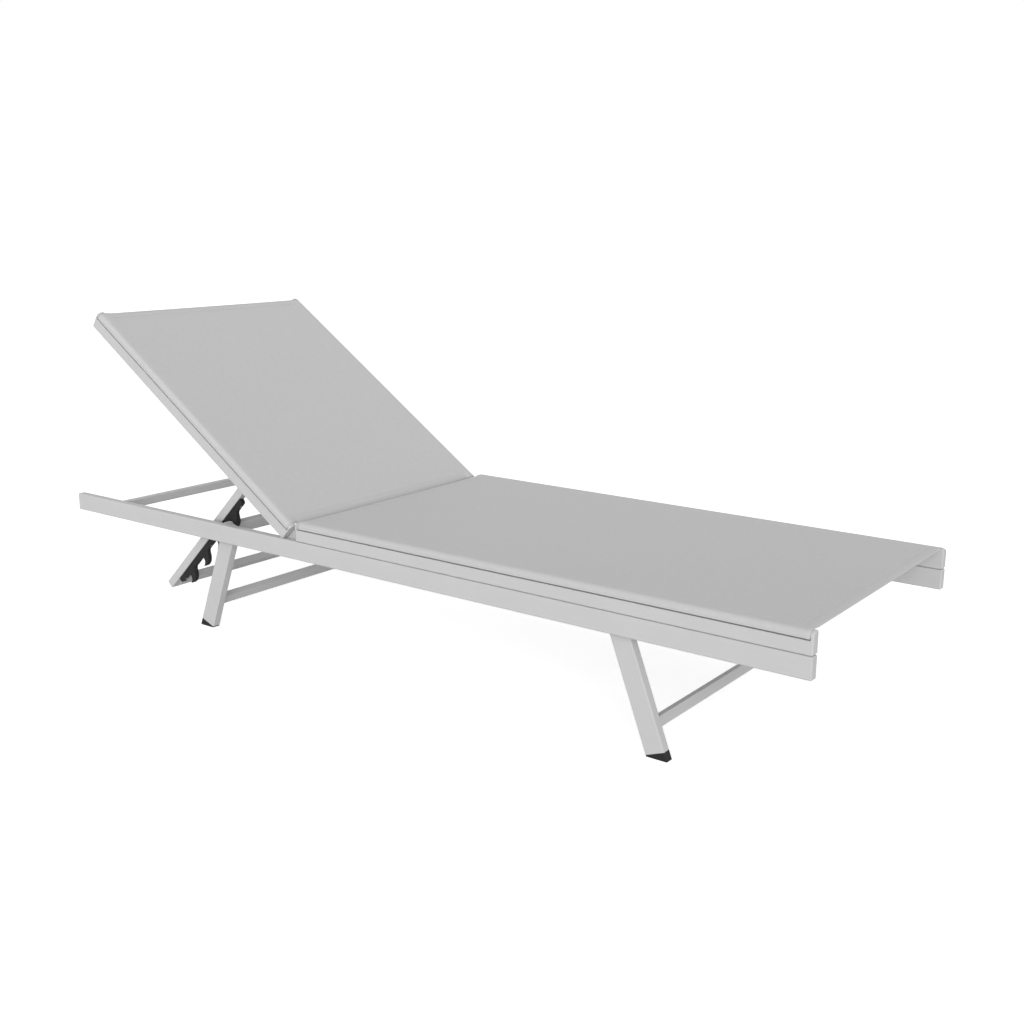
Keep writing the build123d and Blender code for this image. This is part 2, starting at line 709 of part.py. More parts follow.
def build_racks():
    """A rack under each arm with its countersunk screws."""
    place = Plane(origin=(0, -rack_outer_face, 0), x_dir=(-1, 0, 0), z_dir=(0, -1, 0))
    rack = place * extrude(rack_face(), -rack_thickness)
    screws = []
    depth = notch_floor - prop_arm_height / 2
    for at in rack_screw_places():
        mouth = Plane(origin=(-at, -rack_middle_face, -notch_floor), x_dir=(1, 0, 0), z_dir=(0, 0, -1))
        head = extrude(Circle(rack_screw_head / 2), -rack_screw_head_height)
        shank = extrude(Circle(rack_screw_diameter / 2), -depth - rack_screw_reach)
        sunk = extrude(Circle(rack_screw_head / 2 + screw_clearance), -rack_screw_head_height)
        bore = extrude(Circle(rack_screw_diameter / 2 + screw_clearance), -depth)
        rack -= mouth * (sunk + bore)
        screws.append(hung(mouth * (head + shank)))
    pair("prop_rack", hung(rack))
    nodes["rack_screws"] = screws + [left_of(one) for one in screws]


build_rails()
build_seat()
build_head_bar()
build_legs()
build_hinge()
build_backrest()
build_prop_pivots()
build_prop_frame()
build_racks()

for name, shape in nodes.items():
    if isinstance(shape, list):
        shape = Compound([solid for piece in shape for solid in piece.solids()])
    export_step(shape, f"parts/{name}.step")
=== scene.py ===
"""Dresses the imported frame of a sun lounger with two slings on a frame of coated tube.

Lengths that end in _mm are in millimetres, other lengths are in metres, as the frame is.
The foot end points along +X, the head end along -X and Z is up.
"""

import json
import logging
import math
from dataclasses import dataclass, field
from enum import Enum

import bmesh
import bpy
from mathutils import Matrix, Vector

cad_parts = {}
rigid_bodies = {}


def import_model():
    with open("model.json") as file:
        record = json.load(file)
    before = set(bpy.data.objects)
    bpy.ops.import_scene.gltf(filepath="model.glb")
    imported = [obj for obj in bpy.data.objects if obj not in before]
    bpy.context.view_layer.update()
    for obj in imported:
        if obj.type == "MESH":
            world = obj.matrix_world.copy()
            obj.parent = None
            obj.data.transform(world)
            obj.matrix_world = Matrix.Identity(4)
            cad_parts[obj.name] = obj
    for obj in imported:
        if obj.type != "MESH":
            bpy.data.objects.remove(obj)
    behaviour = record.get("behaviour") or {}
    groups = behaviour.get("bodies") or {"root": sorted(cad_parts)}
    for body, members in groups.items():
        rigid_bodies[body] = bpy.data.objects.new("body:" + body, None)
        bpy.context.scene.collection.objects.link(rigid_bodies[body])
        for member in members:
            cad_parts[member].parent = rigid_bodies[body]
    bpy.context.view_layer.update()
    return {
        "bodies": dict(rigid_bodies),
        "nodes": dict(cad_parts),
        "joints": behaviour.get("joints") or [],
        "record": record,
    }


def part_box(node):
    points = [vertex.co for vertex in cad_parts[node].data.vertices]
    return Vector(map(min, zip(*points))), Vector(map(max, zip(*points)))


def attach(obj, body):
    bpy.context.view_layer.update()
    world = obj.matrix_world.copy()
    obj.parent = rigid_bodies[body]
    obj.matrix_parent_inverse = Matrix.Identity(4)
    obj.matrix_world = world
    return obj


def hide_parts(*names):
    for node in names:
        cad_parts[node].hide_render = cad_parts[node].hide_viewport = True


MM = 0.001
WHITE = (1.0, 1.0, 1.0, 1.0)
BLACK = (0.0, 0.0, 0.0, 1.0)
CLOTH_MAP = "cloth"
SQUARE_SIDES = 4

# The sRGB curve: a straight start up to the knee, then a power of the offset channel
SRGB_KNEE = 0.04045
SRGB_SLOPE = 12.92
SRGB_OFFSET = 0.055
SRGB_POWER = 2.4

log = logging.getLogger("sun_lounger")


def linear(hex_colour: str) -> tuple[float, float, float, float]:
    """Turn an sRGB hex colour into a linear one.

    Args:
        hex_colour: Six hex digits after a hash mark.

    Returns:
        Red, green, blue and an alpha of 1.
    """
    channels = [int(hex_colour[place:place + 2], 16) / 255 for place in (1, 3, 5)]
    red, green, blue = (
        channel / SRGB_SLOPE if channel <= SRGB_KNEE
        else ((channel + SRGB_OFFSET) / (1 + SRGB_OFFSET)) ** SRGB_POWER
        for channel in channels)
    return (red, green, blue, 1.0)


def eased(share: float) -> float:
    """Keep a share between 0 and 1 and let it start and end level."""
    share = min(1.0, max(0.0, share))
    return share * share * (3 - 2 * share)


def add_node(tree: bpy.types.NodeTree, kind: str, settings: dict | None = None,
             inputs: dict | None = None) -> bpy.types.Node:
    """Add one node to a material or world.

    Args:
        tree: The node tree it goes into.
        kind: Blender's name of the node type.
        settings: Attributes of the node to set.
        inputs: Its sockets by name or place, each with a value or the output socket that feeds it.

    Returns:
        The new node.
    """
    node = tree.nodes.new(kind)
    for name, value in (settings or {}).items():
        setattr(node, name, value)
    for name, value in (inputs or {}).items():
        if isinstance(value, bpy.types.NodeSocket):
            tree.links.new(value, node.inputs[name])
        else:
            node.inputs[name].default_value = value
    return node


def new_tree(name: str) -> tuple[bpy.types.Material, bpy.types.NodeTree]:
    """Make a material with an empty node tree.

    Args:
        name: The material's name.

    Returns:
        The material and its node tree.
    """
    material = bpy.data.materials.new(name)
    material.use_nodes = True
    material.node_tree.nodes.clear()
    return material, material.node_tree


def two_tones(tree: bpy.types.NodeTree, factor: bpy.types.NodeSocket, low: str,
              high: str) -> bpy.types.NodeSocket:
    """Mix two hex colours by a factor and return the colour socket."""
    mix = add_node(tree, "ShaderNodeMix", {"data_type": "RGBA"}, {
        0: factor, 6: linear(low), 7: linear(high)})
    return mix.outputs[2]


@dataclass(frozen=True)
class PowderCoat:
    """Aluminium tube with a matt powder coat, baked on: a fine orange peel and no metal shine."""

    name: str = "powder_coated_aluminium"
    colour: str = "#CFCFCF"
    shade: str = "#C9C9C9"
    roughness: float = 0.48
    cloud_mm: float = 90.0
    cloud_detail: float = 3.0
    cloud_roughness: float = 0.5
    peel_mm: float = 1.1
    peel_detail: float = 2.0
    peel_roughness: float = 0.6
    peel_strength: float = 0.25
    peel_height_mm: float = 0.02

    def build(self) -> bpy.types.Material:
        """Make the material: two close tones in soft clouds and a peel bump.

        Returns:
            The material.
        """
        material, tree = new_tree(self.name)
        place = add_node(tree, "ShaderNodeTexCoord").outputs["Object"]
        cloud = add_node(tree, "ShaderNodeTexNoise", None, {
            "Vector": place, "Scale": 1 / (self.cloud_mm * MM),
            "Detail": self.cloud_detail, "Roughness": self.cloud_roughness})
        peel = add_node(tree, "ShaderNodeTexNoise", None, {
            "Vector": place, "Scale": 1 / (self.peel_mm * MM),
            "Detail": self.peel_detail, "Roughness": self.peel_roughness})
        bump = add_node(tree, "ShaderNodeBump", None, {
            "Height": peel.outputs[0], "Strength": self.peel_strength,
            "Distance": self.peel_height_mm * MM})
        shader = add_node(tree, "ShaderNodeBsdfPrincipled", None, {
            "Base Color": two_tones(tree, cloud.outputs[0], self.shade, self.colour),
            "Roughness": self.roughness, "Normal": bump.outputs[0]})
        add_node(tree, "ShaderNodeOutputMaterial", None, {"Surface": shader.outputs[0]})
        return material


@dataclass(frozen=True)
class MouldedPlastic:
    """Injection-moulded plastic, spark-eroded tool: a fine even grain with a low sheen."""

    name: str
    colour: str
    shade: str
    roughness: float
    specular: float = 0.5
    gloss_spread: float = 0.06
    grain_mm: float = 0.8
    grain_detail: float = 4.0
    grain_roughness: float = 0.7
    grain_strength: float = 0.35
    grain_height_mm: float = 0.03

    def build(self) -> bpy.types.Material:
        """Make the material: grain in the colour, the gloss and the bump.

        Returns:
            The material.
        """
        material, tree = new_tree(self.name)
        place = add_node(tree, "ShaderNodeTexCoord").outputs["Object"]
        grain = add_node(tree, "ShaderNodeTexNoise", None, {
            "Vector": place, "Scale": 1 / (self.grain_mm * MM),
            "Detail": self.grain_detail, "Roughness": self.grain_roughness})
        gloss = add_node(tree, "ShaderNodeMapRange", None, {
            "Value": grain.outputs[0], "To Min": self.roughness - self.gloss_spread,
            "To Max": self.roughness + self.gloss_spread})
        bump = add_node(tree, "ShaderNodeBump", None, {
            "Height": grain.outputs[0], "Strength": self.grain_strength,
            "Distance": self.grain_height_mm * MM})
        shader = add_node(tree, "ShaderNodeBsdfPrincipled", None, {
            "Base Color": two_tones(tree, grain.outputs[0], self.shade, self.colour),
            "Specular IOR Level": self.specular, "Roughness": gloss.outputs[0],
            "Normal": bump.outputs[0]})
        add_node(tree, "ShaderNodeOutputMaterial", None, {"Surface": shader.outputs[0]})
        return material


@dataclass(frozen=True)
class TurnedSteel:
    """Stainless steel fastener, turned and rolled: a bright metal with fine tool marks."""

    name: str = "stainless_steel"
    colour: str = "#B9B9B7"
    shade: str = "#A2A2A0"
    roughness: float = 0.32
    gloss_spread: float = 0.08
    mark_mm: float = 0.5
    mark_detail: float = 2.0

    def build(self) -> bpy.types.Material:
        """Make the material: a metal whose tone and gloss vary with the tool marks.

        Returns:
            The material.
        """
        material, tree = new_tree(self.name)
        place = add_node(tree, "ShaderNodeTexCoord").outputs["Object"]
        marks = add_node(tree, "ShaderNodeTexNoise", None, {
            "Vector": place, "Scale": 1 / (self.mark_mm * MM), "Detail": self.mark_detail})
        gloss = add_node(tree, "ShaderNodeMapRange", None, {
            "Value": marks.outputs[0], "To Min": self.roughness - self.gloss_spread,
            "To Max": self.roughness + self.gloss_spread})
        shader = add_node(tree, "ShaderNodeBsdfPrincipled", None, {
            "Base Color": two_tones(tree, marks.outputs[0], self.shade, self.colour),
            "Metallic": 1.0, "Roughness": gloss.outputs[0]})
        add_node(tree, "ShaderNodeOutputMaterial", None, {"Surface": shader.outputs[0]})
        return material


@dataclass(frozen=True)
class CoatedWeave:
    """Sling cloth of polyester yarn in a plastic sheath, woven plain and heat-set.

    The real yarns lie about 1.2 mm apart. They are drawn twice as coarse, so that they show.
    """

    name: str = "coated_yarn_weave"
    crown: str = "#D2D2D2"
    # painted shade: the darker colour laid in the dips between the yarns
    painted_dip_shade: str = "#BDBDBD"
    roughness: float = 0.62
    sheen: float = 0.12
    sheen_roughness: float = 0.4
    yarn_mm: float = 2.4
    yarn_strength: float = 0.5
    yarn_height_mm: float = 0.18
    mottle_mm: float = 14.0
    mottle_detail: float = 5.0
    mottle_roughness: float = 0.65
    mottle_share: float = 0.45

    def wave(self, tree: bpy.types.NodeTree, along: bpy.types.NodeSocket) -> bpy.types.NodeSocket:
        """Make the round backs of the yarns that lie across one direction.

        Args:
            tree: The material's node tree.
            along: The place along that direction, in metres.

        Returns:
            The socket of the height, from 0 between two yarns to 1 on top of one.
        """
        turn = add_node(tree, "ShaderNodeMath", {"operation": "MULTIPLY"}, {
            0: along, 1: math.pi / (self.yarn_mm * MM)})
        sine = add_node(tree, "ShaderNodeMath", {"operation": "SINE"}, {0: turn.outputs[0]})
        back = add_node(tree, "ShaderNodeMath", {"operation": "ABSOLUTE"}, {0: sine.outputs[0]})
        return back.outputs[0]

    def build(self) -> bpy.types.Material:
        """Make the material: yarns that pass over and under each other, painted shade in the dips
        between them, and a soft mottle.

        Returns:
            The material.
        """
        material, tree = new_tree(self.name)
        flat = add_node(tree, "ShaderNodeUVMap", {"uv_map": CLOTH_MAP}).outputs[0]
        axes = add_node(tree, "ShaderNodeSeparateXYZ", None, {0: flat})
        warp = self.wave(tree, axes.outputs[0])
        weft = self.wave(tree, axes.outputs[1])
        parity = add_node(tree, "ShaderNodeTexChecker", None, {
            "Vector": flat, "Color1": BLACK, "Color2": WHITE, "Scale": 1 / (self.yarn_mm * MM)})
        yarn = add_node(tree, "ShaderNodeMix", {"data_type": "FLOAT"}, {
            0: parity.outputs[1], 2: warp, 3: weft})
        mottle = add_node(tree, "ShaderNodeTexNoise", None, {
            "Vector": flat, "Scale": 1 / (self.mottle_mm * MM),
            "Detail": self.mottle_detail, "Roughness": self.mottle_roughness})
        # the yarn height darkens the colour between the yarns as painted shade; the mottle mixed in
        # is random tone
        shade_and_mottle = add_node(tree, "ShaderNodeMix", {"data_type": "FLOAT"}, {
            0: self.mottle_share, 2: yarn.outputs[0], 3: mottle.outputs[0]})
        bump = add_node(tree, "ShaderNodeBump", None, {
            "Height": yarn.outputs[0], "Strength": self.yarn_strength,
            "Distance": self.yarn_height_mm * MM})
        shader = add_node(tree, "ShaderNodeBsdfPrincipled", None, {
            "Base Color": two_tones(tree, shade_and_mottle.outputs[0], self.painted_dip_shade, self.crown),
            "Roughness": self.roughness, "Normal": bump.outputs[0],
            "Sheen Weight": self.sheen, "Sheen Roughness": self.sheen_roughness})
        add_node(tree, "ShaderNodeOutputMaterial", None, {"Surface": shader.outputs[0]})
        return material


class Finish(Enum):
    """The record's material slots, each with the finish that dresses it."""

    coated_aluminium = PowderCoat()
    moulded_caps = MouldedPlastic("moulded_grey_polypropylene", "#CFCFCF", "#C6C6C6", 0.5)
    black_plastic = MouldedPlastic("moulded_black_nylon", "#2A2A2A", "#212121", 0.55, specular=0.3)
    sling_cloth = CoatedWeave()
    hem_cord = MouldedPlastic("extruded_hem_cord", "#9A9A9A", "#8C8C8C", 0.6)
    nylon = MouldedPlastic("natural_nylon", "#DAD9D3", "#CFCEC8", 0.45)
    steel_fasteners = TurnedSteel()


class Wardrobe:
    """Makes each finish once and puts it on pieces."""

    def __init__(self) -> None:
        """Build every material."""
        self.made = {finish.name: finish.value.build() for finish in Finish}

    def dress(self, piece: bpy.types.Object, slot: str) -> None:
        """Give a piece the material of a slot, on its object's material slots.

        Args:
            piece: The object to dress.
            slot: The record's material slot.
        """
        if not piece.material_slots:
            piece.data.materials.append(self.made[slot])
        for holder in piece.material_slots:
            holder.link = "OBJECT"
            holder.material = self.made[slot]

    def dress_frame(self, frame: dict) -> None:
        """Give every node of the frame the finish of its slot in the record."""
        for part in frame["record"]["subparts"]:
            self.dress(frame["nodes"][part["node"]], part["material_slot"])


def finish_piece(bm: bmesh.types.BMesh, name: str, body: str, slot: str,
                 wardrobe: Wardrobe) -> bpy.types.Object:
    """Turn a bmesh into a smooth, dressed object that rides on a body.

    Args:
        bm: The mesh, in metres, in its place. It is freed.
        name: The new object's name.
        body: The body of the frame that carries it.
        slot: The record's material slot.
        wardrobe: The finishes.

    Returns:
        The object, at the origin.
    """
    mesh = bpy.data.meshes.new(name)
    for face in bm.faces:
        face.smooth = True
    bm.to_mesh(mesh)
    bm.free()
    piece = bpy.data.objects.new(name, mesh)
    bpy.context.scene.collection.objects.link(piece)
    wardrobe.dress(piece, slot)
    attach(piece, body)
    log.info("%s: %d faces on %s", name, len(mesh.polygons), body)
    return piece


@dataclass(frozen=True)
class SlingSection:
    """Path of the cloth across the lounger, over both profiles and into their channels.

    A crowding above 1 draws the columns together towards the middle.
    """

    width_mm: float = 658.0
    rise_mm: float = 15.6
    thickness_mm: float = 0.9
    profile_mm: float = 20.5
    shoulder_mm: float = 9.8
    tuck_turn_mm: float = 1.2
    tuck_mm: float = 2.6
    turn_steps: int = 9
    across_steps: int = 60
    crowding: float = 1.4

    def half(self) -> list[tuple[float, float, float]]:
        """Points of the right half from the tuck in the channel to the middle.

        Returns:
            For each point its place across, its height under the cloth's top and its
            length along the cloth, all in millimetres.
        """
        skin = self.thickness_mm / 2
        outer = -self.width_mm / 2 + skin
        top = -skin
        low = -self.rise_mm + skin
        turns = [math.pi / 2 * step / self.turn_steps for step in range(self.turn_steps + 1)]
        points = [(outer + self.tuck_mm, low)]
        for turn in turns:
            across = outer + self.tuck_turn_mm * (1 - math.sin(turn))
            points.append((across, low + self.tuck_turn_mm * (1 - math.cos(turn))))
        for turn in turns:
            across = outer + self.shoulder_mm * (1 - math.cos(turn))
            points.append((across, top - self.shoulder_mm * (1 - math.sin(turn))))
        start = outer + self.shoulder_mm
        for step in range(1, self.across_steps + 1):
            share = step / self.across_steps
            points.append((start * (1 - share) ** self.crowding, top))
        measured = []
        length = 0.0
        for place, (across, height) in enumerate(points):
            if place:
                length += math.dist(points[place - 1], (across, height))
            measured.append((across, height, length))
        return measured

    def whole(self) -> list[tuple[float, float, float]]:
        """Points of the whole path, from the right tuck to the left one.

        Returns:
            The same three measures for each point, with the length counted from the middle.
        """
        half = self.half()
        reach = half[-1][2]
        right = [(across, height, length - reach) for across, height, length in half]
        left = [(-across, height, -length) for across, height, length in reversed(right[:-1])]
        return right + left


@dataclass(frozen=True)
class Stitch:
    """One stitch of a seam: a short thread, round across and pulled in at both ends."""

    length_mm: float = 4.2
    pitch_mm: float = 5.4
    thread_mm: float = 0.9
    lift_share: float = 0.2
    sides: int = 6
    rings: int = 4

    def add(self, bm: bmesh.types.BMesh, middle: Vector) -> None:
        """Add the stitch to a mesh, so that it runs across the cloth.

        Args:
            bm: The mesh it goes into.
            middle: Its middle, in metres.
        """
        turn = Vector((0, 1, 0)).to_track_quat("Z", "Y").to_matrix().to_4x4()
        thick = self.thread_mm * MM
        size = Matrix.Diagonal((thick / 2, thick / 2, self.length_mm * MM / 2, 1.0))
        bmesh.ops.create_uvsphere(bm, u_segments=self.sides, v_segments=self.rings, radius=1.0,
                                  matrix=Matrix.Translation(middle) @ turn @ size)


@dataclass
class Sling:
    """One taut cloth, drawn flat with its top at Z 0 and then laid on its profiles."""

    name: str
    node: str
    body: str
    start_mm: float
    end_mm: float
    top: Matrix
    section: SlingSection = field(default_factory=SlingSection)
    stitch: Stitch = field(default_factory=Stitch)
    row_mm: float = 6.0
    sag_mm: float = 2.0
    end_sag_share: float = 0.35
    start_curl_mm: float = 2.0
    end_curl_mm: float = 2.0
    curl_reach_mm: float = 34.0
    curl_fade_mm: float = 12.0
    hem_mm: float = 24.0
    hem_inset_mm: float = 1.0
    hem_gap_mm: float = 0.25
    hem_rows: int = 4
    hem_columns: int = 48
    seam_inset_mm: float = 4.0
    edge_margin_mm: float = 16.0

    def hem_reach(self) -> float:
        """Half the length of a hem across the cloth, in millimetres."""
        return self.section.width_mm / 2 - self.section.shoulder_mm - self.edge_margin_mm

    def curl(self, x: float, across: float) -> float:
        """Roll the free cut ends down between the profiles.

        Args:
            x: The place along the cloth, in millimetres.
            across: The place across it from the middle, in millimetres.

        Returns:
            How far the cloth lies lower there, in millimetres.
        """
        inner = self.section.width_mm / 2 - self.section.profile_mm
        free = eased((inner - abs(across)) / self.curl_fade_mm)
        near_start = max(0.0, 1 - (x - self.start_mm) / self.curl_reach_mm)
        near_end = max(0.0, 1 - (self.end_mm - x) / self.curl_reach_mm)
        return free * (self.start_curl_mm * near_start ** 2 + self.end_curl_mm * near_end ** 2)

    def sink(self, x: float, across: float) -> float:
        """Let the cloth hang between its edges, less towards its cut ends.

        Args:
            x: The place along the cloth, in millimetres.
            across: The place across it from the middle, in millimetres.

        Returns:
            How far the cloth lies below its edges there, its curl included, in millimetres.
        """
        edge = self.section.width_mm / 2 - self.section.shoulder_mm
        share = max(0.0, 1 - (across / edge) ** 2)
        along = (x - self.start_mm) / (self.end_mm - self.start_mm)
        arch = 4 * along * (1 - along)
        return self.sag_mm * share * min(1.0, self.end_sag_share + arch) + self.curl(x, across)

    def lay(self, bm: bmesh.types.BMesh, name: str, flat: bmesh.types.BMLayerItem,
            spots: dict[bmesh.types.BMVert, tuple[float, float]],
            wardrobe: Wardrobe) -> bpy.types.Object:
        """Lay a thin strip on the profiles and give it the cloth's thickness.

        Args:
            bm: The strip, drawn with the cloth's top at Z 0. It is freed.
            name: The new object's name.
            flat: The strip's layer for its flat map.
            spots: The place of each vertex on the flat cloth, in metres.
            wardrobe: The finishes.

        Returns:
            The strip's object.
        """
        for face in bm.faces:
            for loop in face.loops:
                loop[flat].uv = spots[loop.vert]
        bmesh.ops.transform(bm, matrix=self.top, verts=bm.verts)
        bmesh.ops.recalc_face_normals(bm, faces=bm.faces)
        strip = finish_piece(bm, name, self.body, "sling_cloth", wardrobe)
        solid = strip.modifiers.new("thickness", "SOLIDIFY")
        solid.thickness = self.section.thickness_mm * MM
        solid.offset = 0.0
        return strip

    def build_hem(self, wardrobe: Wardrobe, name: str, first_mm: float,
                  last_mm: float) -> bpy.types.Object:
        """Fold the strip of a hem under the cloth at one of its cut ends.

        Args:
            wardrobe: The finishes.
            name: The new object's name.
            first_mm: Where the strip begins along the cloth.
            last_mm: Where it ends.

        Returns:
            The strip's object.
        """
        reach = self.hem_reach()
        cloth_above = self.section.thickness_mm
        drop = cloth_above + self.section.thickness_mm / 2 + self.hem_gap_mm
        bm = bmesh.new()
        bmesh.ops.create_grid(bm, x_segments=self.hem_rows, y_segments=self.hem_columns, size=0.5)
        flat = bm.loops.layers.uv.new(CLOTH_MAP)
        spots = {}
        for vertex in bm.verts:
            x = first_mm + (vertex.co.x + 0.5) * (last_mm - first_mm)
            across = 2 * reach * vertex.co.y
            spots[vertex] = (x * MM, across * MM)
            vertex.co = (x * MM, across * MM, (-drop - self.sink(x, across)) * MM)
        return self.lay(bm, name, flat, spots, wardrobe)

    def build_seam(self, wardrobe: Wardrobe, name: str, x: float) -> bpy.types.Object:
        """Sew one row of stitches across the cloth.

        Args:
            wardrobe: The finishes.
            name: The new object's name.
            x: The row's place along the cloth, in millimetres.

        Returns:
            The row's object.
        """
        count = int(2 * self.hem_reach() / self.stitch.pitch_mm)
        lift = self.stitch.thread_mm * self.stitch.lift_share
        bm = bmesh.new()
        for number in range(count):
            across = (number - (count - 1) / 2) * self.stitch.pitch_mm
            height = lift - self.sink(x, across)
            self.stitch.add(bm, Vector((x * MM, across * MM, height * MM)))
        bmesh.ops.transform(bm, matrix=self.top, verts=bm.verts)
        return finish_piece(bm, name, self.body, "sling_cloth", wardrobe)

    def build_hems(self, wardrobe: Wardrobe) -> list[bpy.types.Object]:
        """Fold and sew the hems at both cut ends.

        Args:
            wardrobe: The finishes.

        Returns:
            The two folded strips and the two rows of stitches.
        """
        start, end = self.start_mm, self.end_mm
        seam = self.hem_mm - self.seam_inset_mm
        return [
            self.build_hem(wardrobe, f"{self.name}_start_hem",
                           start + self.hem_inset_mm, start + self.hem_mm),
            self.build_hem(wardrobe, f"{self.name}_end_hem",
                           end - self.hem_mm, end - self.hem_inset_mm),
            self.build_seam(wardrobe, f"{self.name}_start_stitches", start + seam),
            self.build_seam(wardrobe, f"{self.name}_end_stitches", end - seam)]

    def build(self, wardrobe: Wardrobe) -> bpy.types.Object:
        """Bend a grid into the cloth, lay it on its profiles and hem it.

        Args:
            wardrobe: The finishes.

        Returns:
            The cloth's object.
        """
        path = self.section.whole()
        span = self.end_mm - self.start_mm
        bm = bmesh.new()
        bmesh.ops.create_grid(bm, x_segments=round(span / self.row_mm),
                              y_segments=len(path) - 1, size=0.5)
        flat = bm.loops.layers.uv.new(CLOTH_MAP)
        spots = {}
        for vertex in bm.verts:
            across, height, length = path[round((vertex.co.y + 0.5) * (len(path) - 1))]
            x = self.start_mm + (vertex.co.x + 0.5) * span
            spots[vertex] = (x * MM, length * MM)
            vertex.co = (x * MM, across * MM, (height - self.sink(x, across)) * MM)
        piece = self.lay(bm, self.name, flat, spots, wardrobe)
        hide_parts(self.node)
        length = span * MM
        hems = self.build_hems(wardrobe)
        return piece


@dataclass(frozen=True)
class WeldBead:
    """Weld all round the end of a square bar: a thin rope of overlapped drops of metal."""

    name: str
    body: str
    middle: Vector
    side_mm: float
    tilt_degrees: float
    corner_mm: float = 2.0
    bead_mm: float = 1.5
    ripple_mm: float = 0.22
    ripple_pitch_mm: float = 2.2
    corner_steps: int = 4
    run_steps: int = 24
    round_steps: int = 6
    merge_mm: float = 0.005

    def path(self) -> list[tuple[Vector, Vector]]:
        """Points round the bar's end in its own plane.

        Returns:
            Each point in millimetres from the bar's middle, with its outward direction.
        """
        flat = self.side_mm / 2 - self.corner_mm
        rows = []
        for side in range(SQUARE_SIDES):
            out = Matrix.Rotation(math.pi / 2 * side, 4, "Y")
            for step in range(self.run_steps):
                share = -1 + 2 * step / self.run_steps
                spot = Vector((self.side_mm / 2, 0, -share * flat))
                rows.append((out @ spot, out @ Vector((1, 0, 0))))
            for step in range(self.corner_steps):
                turn = Matrix.Rotation(math.pi / 2 * step / self.corner_steps, 4, "Y")
                spot = Vector((flat, 0, -flat)) + turn @ Vector((self.corner_mm, 0, 0))
                rows.append((out @ spot, out @ turn @ Vector((1, 0, 0))))
        return rows

    def build(self, wardrobe: Wardrobe) -> bpy.types.Object:
        """Bend a grid into the bead and close it round the bar.

        Args:
            wardrobe: The finishes.

        Returns:
            The bead's object.
        """
        rows = self.path()
        girth = SQUARE_SIDES * self.side_mm
        turn = Matrix.Rotation(math.radians(self.tilt_degrees), 4, "Y")
        bm = bmesh.new()
        bmesh.ops.create_grid(bm, x_segments=len(rows), y_segments=self.round_steps, size=0.5)
        for vertex in bm.verts:
            number = round((vertex.co.x + 0.5) * len(rows)) % len(rows)
            step = round((vertex.co.y + 0.5) * self.round_steps) % self.round_steps
            angle = 2 * math.pi * step / self.round_steps
            ripple = math.cos(2 * math.pi * number / len(rows) * girth / self.ripple_pitch_mm)
            radius = self.bead_mm + self.ripple_mm * ripple
            point, out = rows[number]
            spot = point + out * radius * math.cos(angle) + Vector((0, radius * math.sin(angle), 0))
            vertex.co = self.middle + (turn @ spot) * MM
        bmesh.ops.remove_doubles(bm, verts=bm.verts, dist=self.merge_mm * MM)
        bmesh.ops.recalc_face_normals(bm, faces=bm.faces)
        return finish_piece(bm, self.name, self.body, "coated_aluminium", wardrobe)


@dataclass(frozen=True)
class Camera:
    """The viewpoint of the photograph, from a fit to the straight edges in it."""

    place_mm: tuple[float, float, float] = (1749.4, -2149.96, 971.65)
    ahead: tuple[float, float, float] = (-0.58191, 0.77869, -0.23457)
    upward: tuple[float, float, float] = (-0.14276, 0.18615, 0.97209)
    lens_mm: float = 43.642
    sensor_mm: float = 36.0
    farthest: float = 100.0

    def build(self) -> None:
        """Make the camera and make it the scene's."""
        data = bpy.data.cameras.new("camera")
        data.lens = self.lens_mm
        data.sensor_width = self.sensor_mm
        data.clip_end = self.farthest
        camera = bpy.data.objects.new("camera", data)
        back = -Vector(self.ahead).normalized()
        up = Vector(self.upward).normalized()
        right = up.cross(back)
        turn = Matrix((right, up, back)).transposed().to_4x4()
        camera.matrix_world = Matrix.Translation(Vector(self.place_mm) * MM) @ turn
        bpy.context.scene.collection.objects.link(camera)
        bpy.context.scene.camera = camera


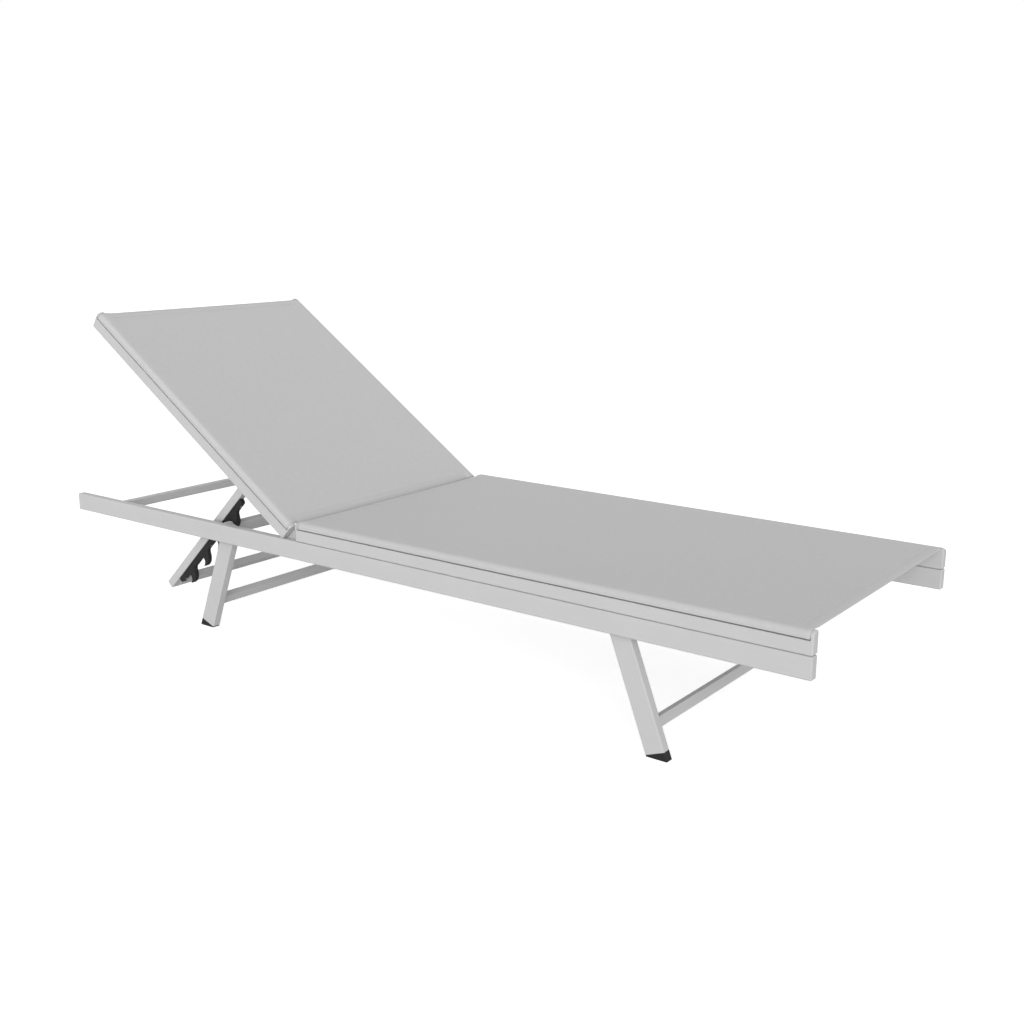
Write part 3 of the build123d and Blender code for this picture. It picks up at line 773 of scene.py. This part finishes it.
@dataclass(frozen=True)
class Studio:
    """A white room: soft light from all round, one broad key light and a pale floor."""

    zenith_strength: float = 0.42
    horizon_strength: float = 0.84
    key_strength: float = 1.6
    key_spread_degrees: float = 40.0
    key_towards: tuple[float, float, float] = (-0.53, 0.79, -0.26)
    floor_size: float = 30.0
    floor_colour: str = "#E4E4E4"
    floor_glow: float = 0.68

    def build_world(self) -> None:
        """Light the room, and show it white to the camera, in gloss and through clear pieces."""
        world = bpy.data.worlds.new("white_room")
        bpy.context.scene.world = world
        world.use_nodes = True
        tree = world.node_tree
        tree.nodes.clear()
        path = add_node(tree, "ShaderNodeLightPath")
        mirrored = add_node(tree, "ShaderNodeMath", {"operation": "MAXIMUM"}, {
            0: path.outputs["Is Camera Ray"], 1: path.outputs["Is Glossy Ray"]})
        seen = add_node(tree, "ShaderNodeMath", {"operation": "MAXIMUM"}, {
            0: mirrored.outputs[0], 1: path.outputs["Is Transmission Ray"]})
        outward = add_node(tree, "ShaderNodeTexCoord").outputs["Generated"]
        height = add_node(tree, "ShaderNodeSeparateXYZ", None, {0: outward}).outputs[2]
        room = add_node(tree, "ShaderNodeMapRange", None, {
            "Value": height, "To Min": self.horizon_strength, "To Max": self.zenith_strength})
        light = add_node(tree, "ShaderNodeMix", {"data_type": "FLOAT"}, {
            0: seen.outputs[0], 2: room.outputs[0], 3: 1.0})
        glow = add_node(tree, "ShaderNodeBackground", None, {
            "Color": WHITE, "Strength": light.outputs[0]})
        add_node(tree, "ShaderNodeOutputWorld", None, {"Surface": glow.outputs[0]})

    def build_key(self) -> None:
        """Hang the broad key light."""
        data = bpy.data.lights.new("key", "SUN")
        data.energy = self.key_strength
        data.angle = math.radians(self.key_spread_degrees)
        key = bpy.data.objects.new("key", data)
        key.rotation_euler = Vector(self.key_towards).to_track_quat("-Z", "Y").to_euler()
        bpy.context.scene.collection.objects.link(key)

    def build_floor(self) -> None:
        """Lay a pale floor that shows white and still keeps the object's shadow."""
        bm = bmesh.new()
        bmesh.ops.create_grid(bm, x_segments=1, y_segments=1, size=self.floor_size / 2)
        mesh = bpy.data.meshes.new("floor")
        bm.to_mesh(mesh)
        bm.free()
        floor = bpy.data.objects.new("floor", mesh)
        bpy.context.scene.collection.objects.link(floor)
        material, tree = new_tree("pale_floor")
        path = add_node(tree, "ShaderNodeLightPath")
        matt = add_node(tree, "ShaderNodeBsdfDiffuse", None, {"Color": linear(self.floor_colour)})
        strength = add_node(tree, "ShaderNodeMath", {"operation": "MULTIPLY"}, {
            0: path.outputs["Is Camera Ray"], 1: self.floor_glow})
        glow = add_node(tree, "ShaderNodeEmission", None, {
            "Color": WHITE, "Strength": strength.outputs[0]})
        both = add_node(tree, "ShaderNodeAddShader", None, {0: matt.outputs[0], 1: glow.outputs[0]})
        add_node(tree, "ShaderNodeOutputMaterial", None, {"Surface": both.outputs[0]})
        mesh.materials.append(material)

    def build(self) -> None:
        """Set the plain view transform and build the whole studio."""
        bpy.context.scene.view_settings.view_transform = "Standard"
        self.build_world()
        self.build_key()
        self.build_floor()


@dataclass
class SunLounger:
    """The whole lounger: the dressed frame and the pieces that finish it."""

    frame: dict
    wardrobe: Wardrobe
    rail_top_mm: float = 269.0
    profile_height_mm: float = 44.5
    seat_span_mm: tuple[float, float] = (-196.6, 993.0)
    back_span_mm: tuple[float, float] = (-755.0, 8.0)
    hinge_up_mm: float = 18.0
    back_angle_degrees: float = 34.0
    low_hem_curl_mm: float = 10.0
    bar_mm: float = 20.0
    leg_tilt_degrees: float = 21.0
    prop_tilt_degrees: float = 44.75

    def joint_place(self, name: str) -> Vector:
        """Where a joint of the frame lies, in metres."""
        joint = next(joint for joint in self.frame["joints"] if joint["name"] == name)
        return Vector(joint["pos_m"])

    def seat_top(self) -> Matrix:
        """Place of the seat cloth's top."""
        return Matrix.Translation((0, 0, (self.rail_top_mm + self.profile_height_mm) * MM))

    def back_top(self) -> Matrix:
        """Place of the backrest cloth's top, turned up about the hinge.

        Returns:
            The move from the flat drawing to the raised backrest.
        """
        hinge = Matrix.Translation(self.joint_place("backrest_recline"))
        turn = Matrix.Rotation(math.radians(self.back_angle_degrees), 4, "Y")
        rise = (self.profile_height_mm - self.hinge_up_mm) * MM
        return hinge @ turn @ Matrix.Translation((0, 0, rise))

    def build_slings(self) -> None:
        """Lay the two cloths."""
        Sling("seat_cloth", "seat_sling", "frame", *self.seat_span_mm,
              self.seat_top()).build(self.wardrobe)
        Sling("back_cloth", "back_sling", "backrest", *self.back_span_mm,
              self.back_top(), end_curl_mm=self.low_hem_curl_mm).build(self.wardrobe)

    def build_welds(self) -> None:
        """Weld both ends of each square bar."""
        bars = (
            ("head_crossbar", "frame", 0.0),
            ("rear_low_bar", "frame", self.leg_tilt_degrees),
            ("front_low_bar", "frame", -self.leg_tilt_degrees),
            ("prop_low_bar", "prop", self.prop_tilt_degrees))
        for node, body, tilt in bars:
            low, high = (Vector(corner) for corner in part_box(node))
            middle = (low + high) / 2
            for side, across in (("right", low.y), ("left", high.y)):
                place = Vector((middle.x, across, middle.z))
                bead = WeldBead(f"{node}_{side}_weld", body, place, self.bar_mm, tilt)
                bead.build(self.wardrobe)

    def build(self) -> None:
        """Dress the frame and build what finishes it."""
        self.wardrobe.dress_frame(self.frame)
        self.build_slings()
        self.build_welds()


def main() -> None:
    """Load the frame, build the studio and the lounger."""
    logging.basicConfig(level=logging.INFO, format="%(name)s: %(message)s")
    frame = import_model()
    Studio().build()
    Camera().build()
    SunLounger(frame, Wardrobe()).build()


if __name__ == "__main__":
    main()
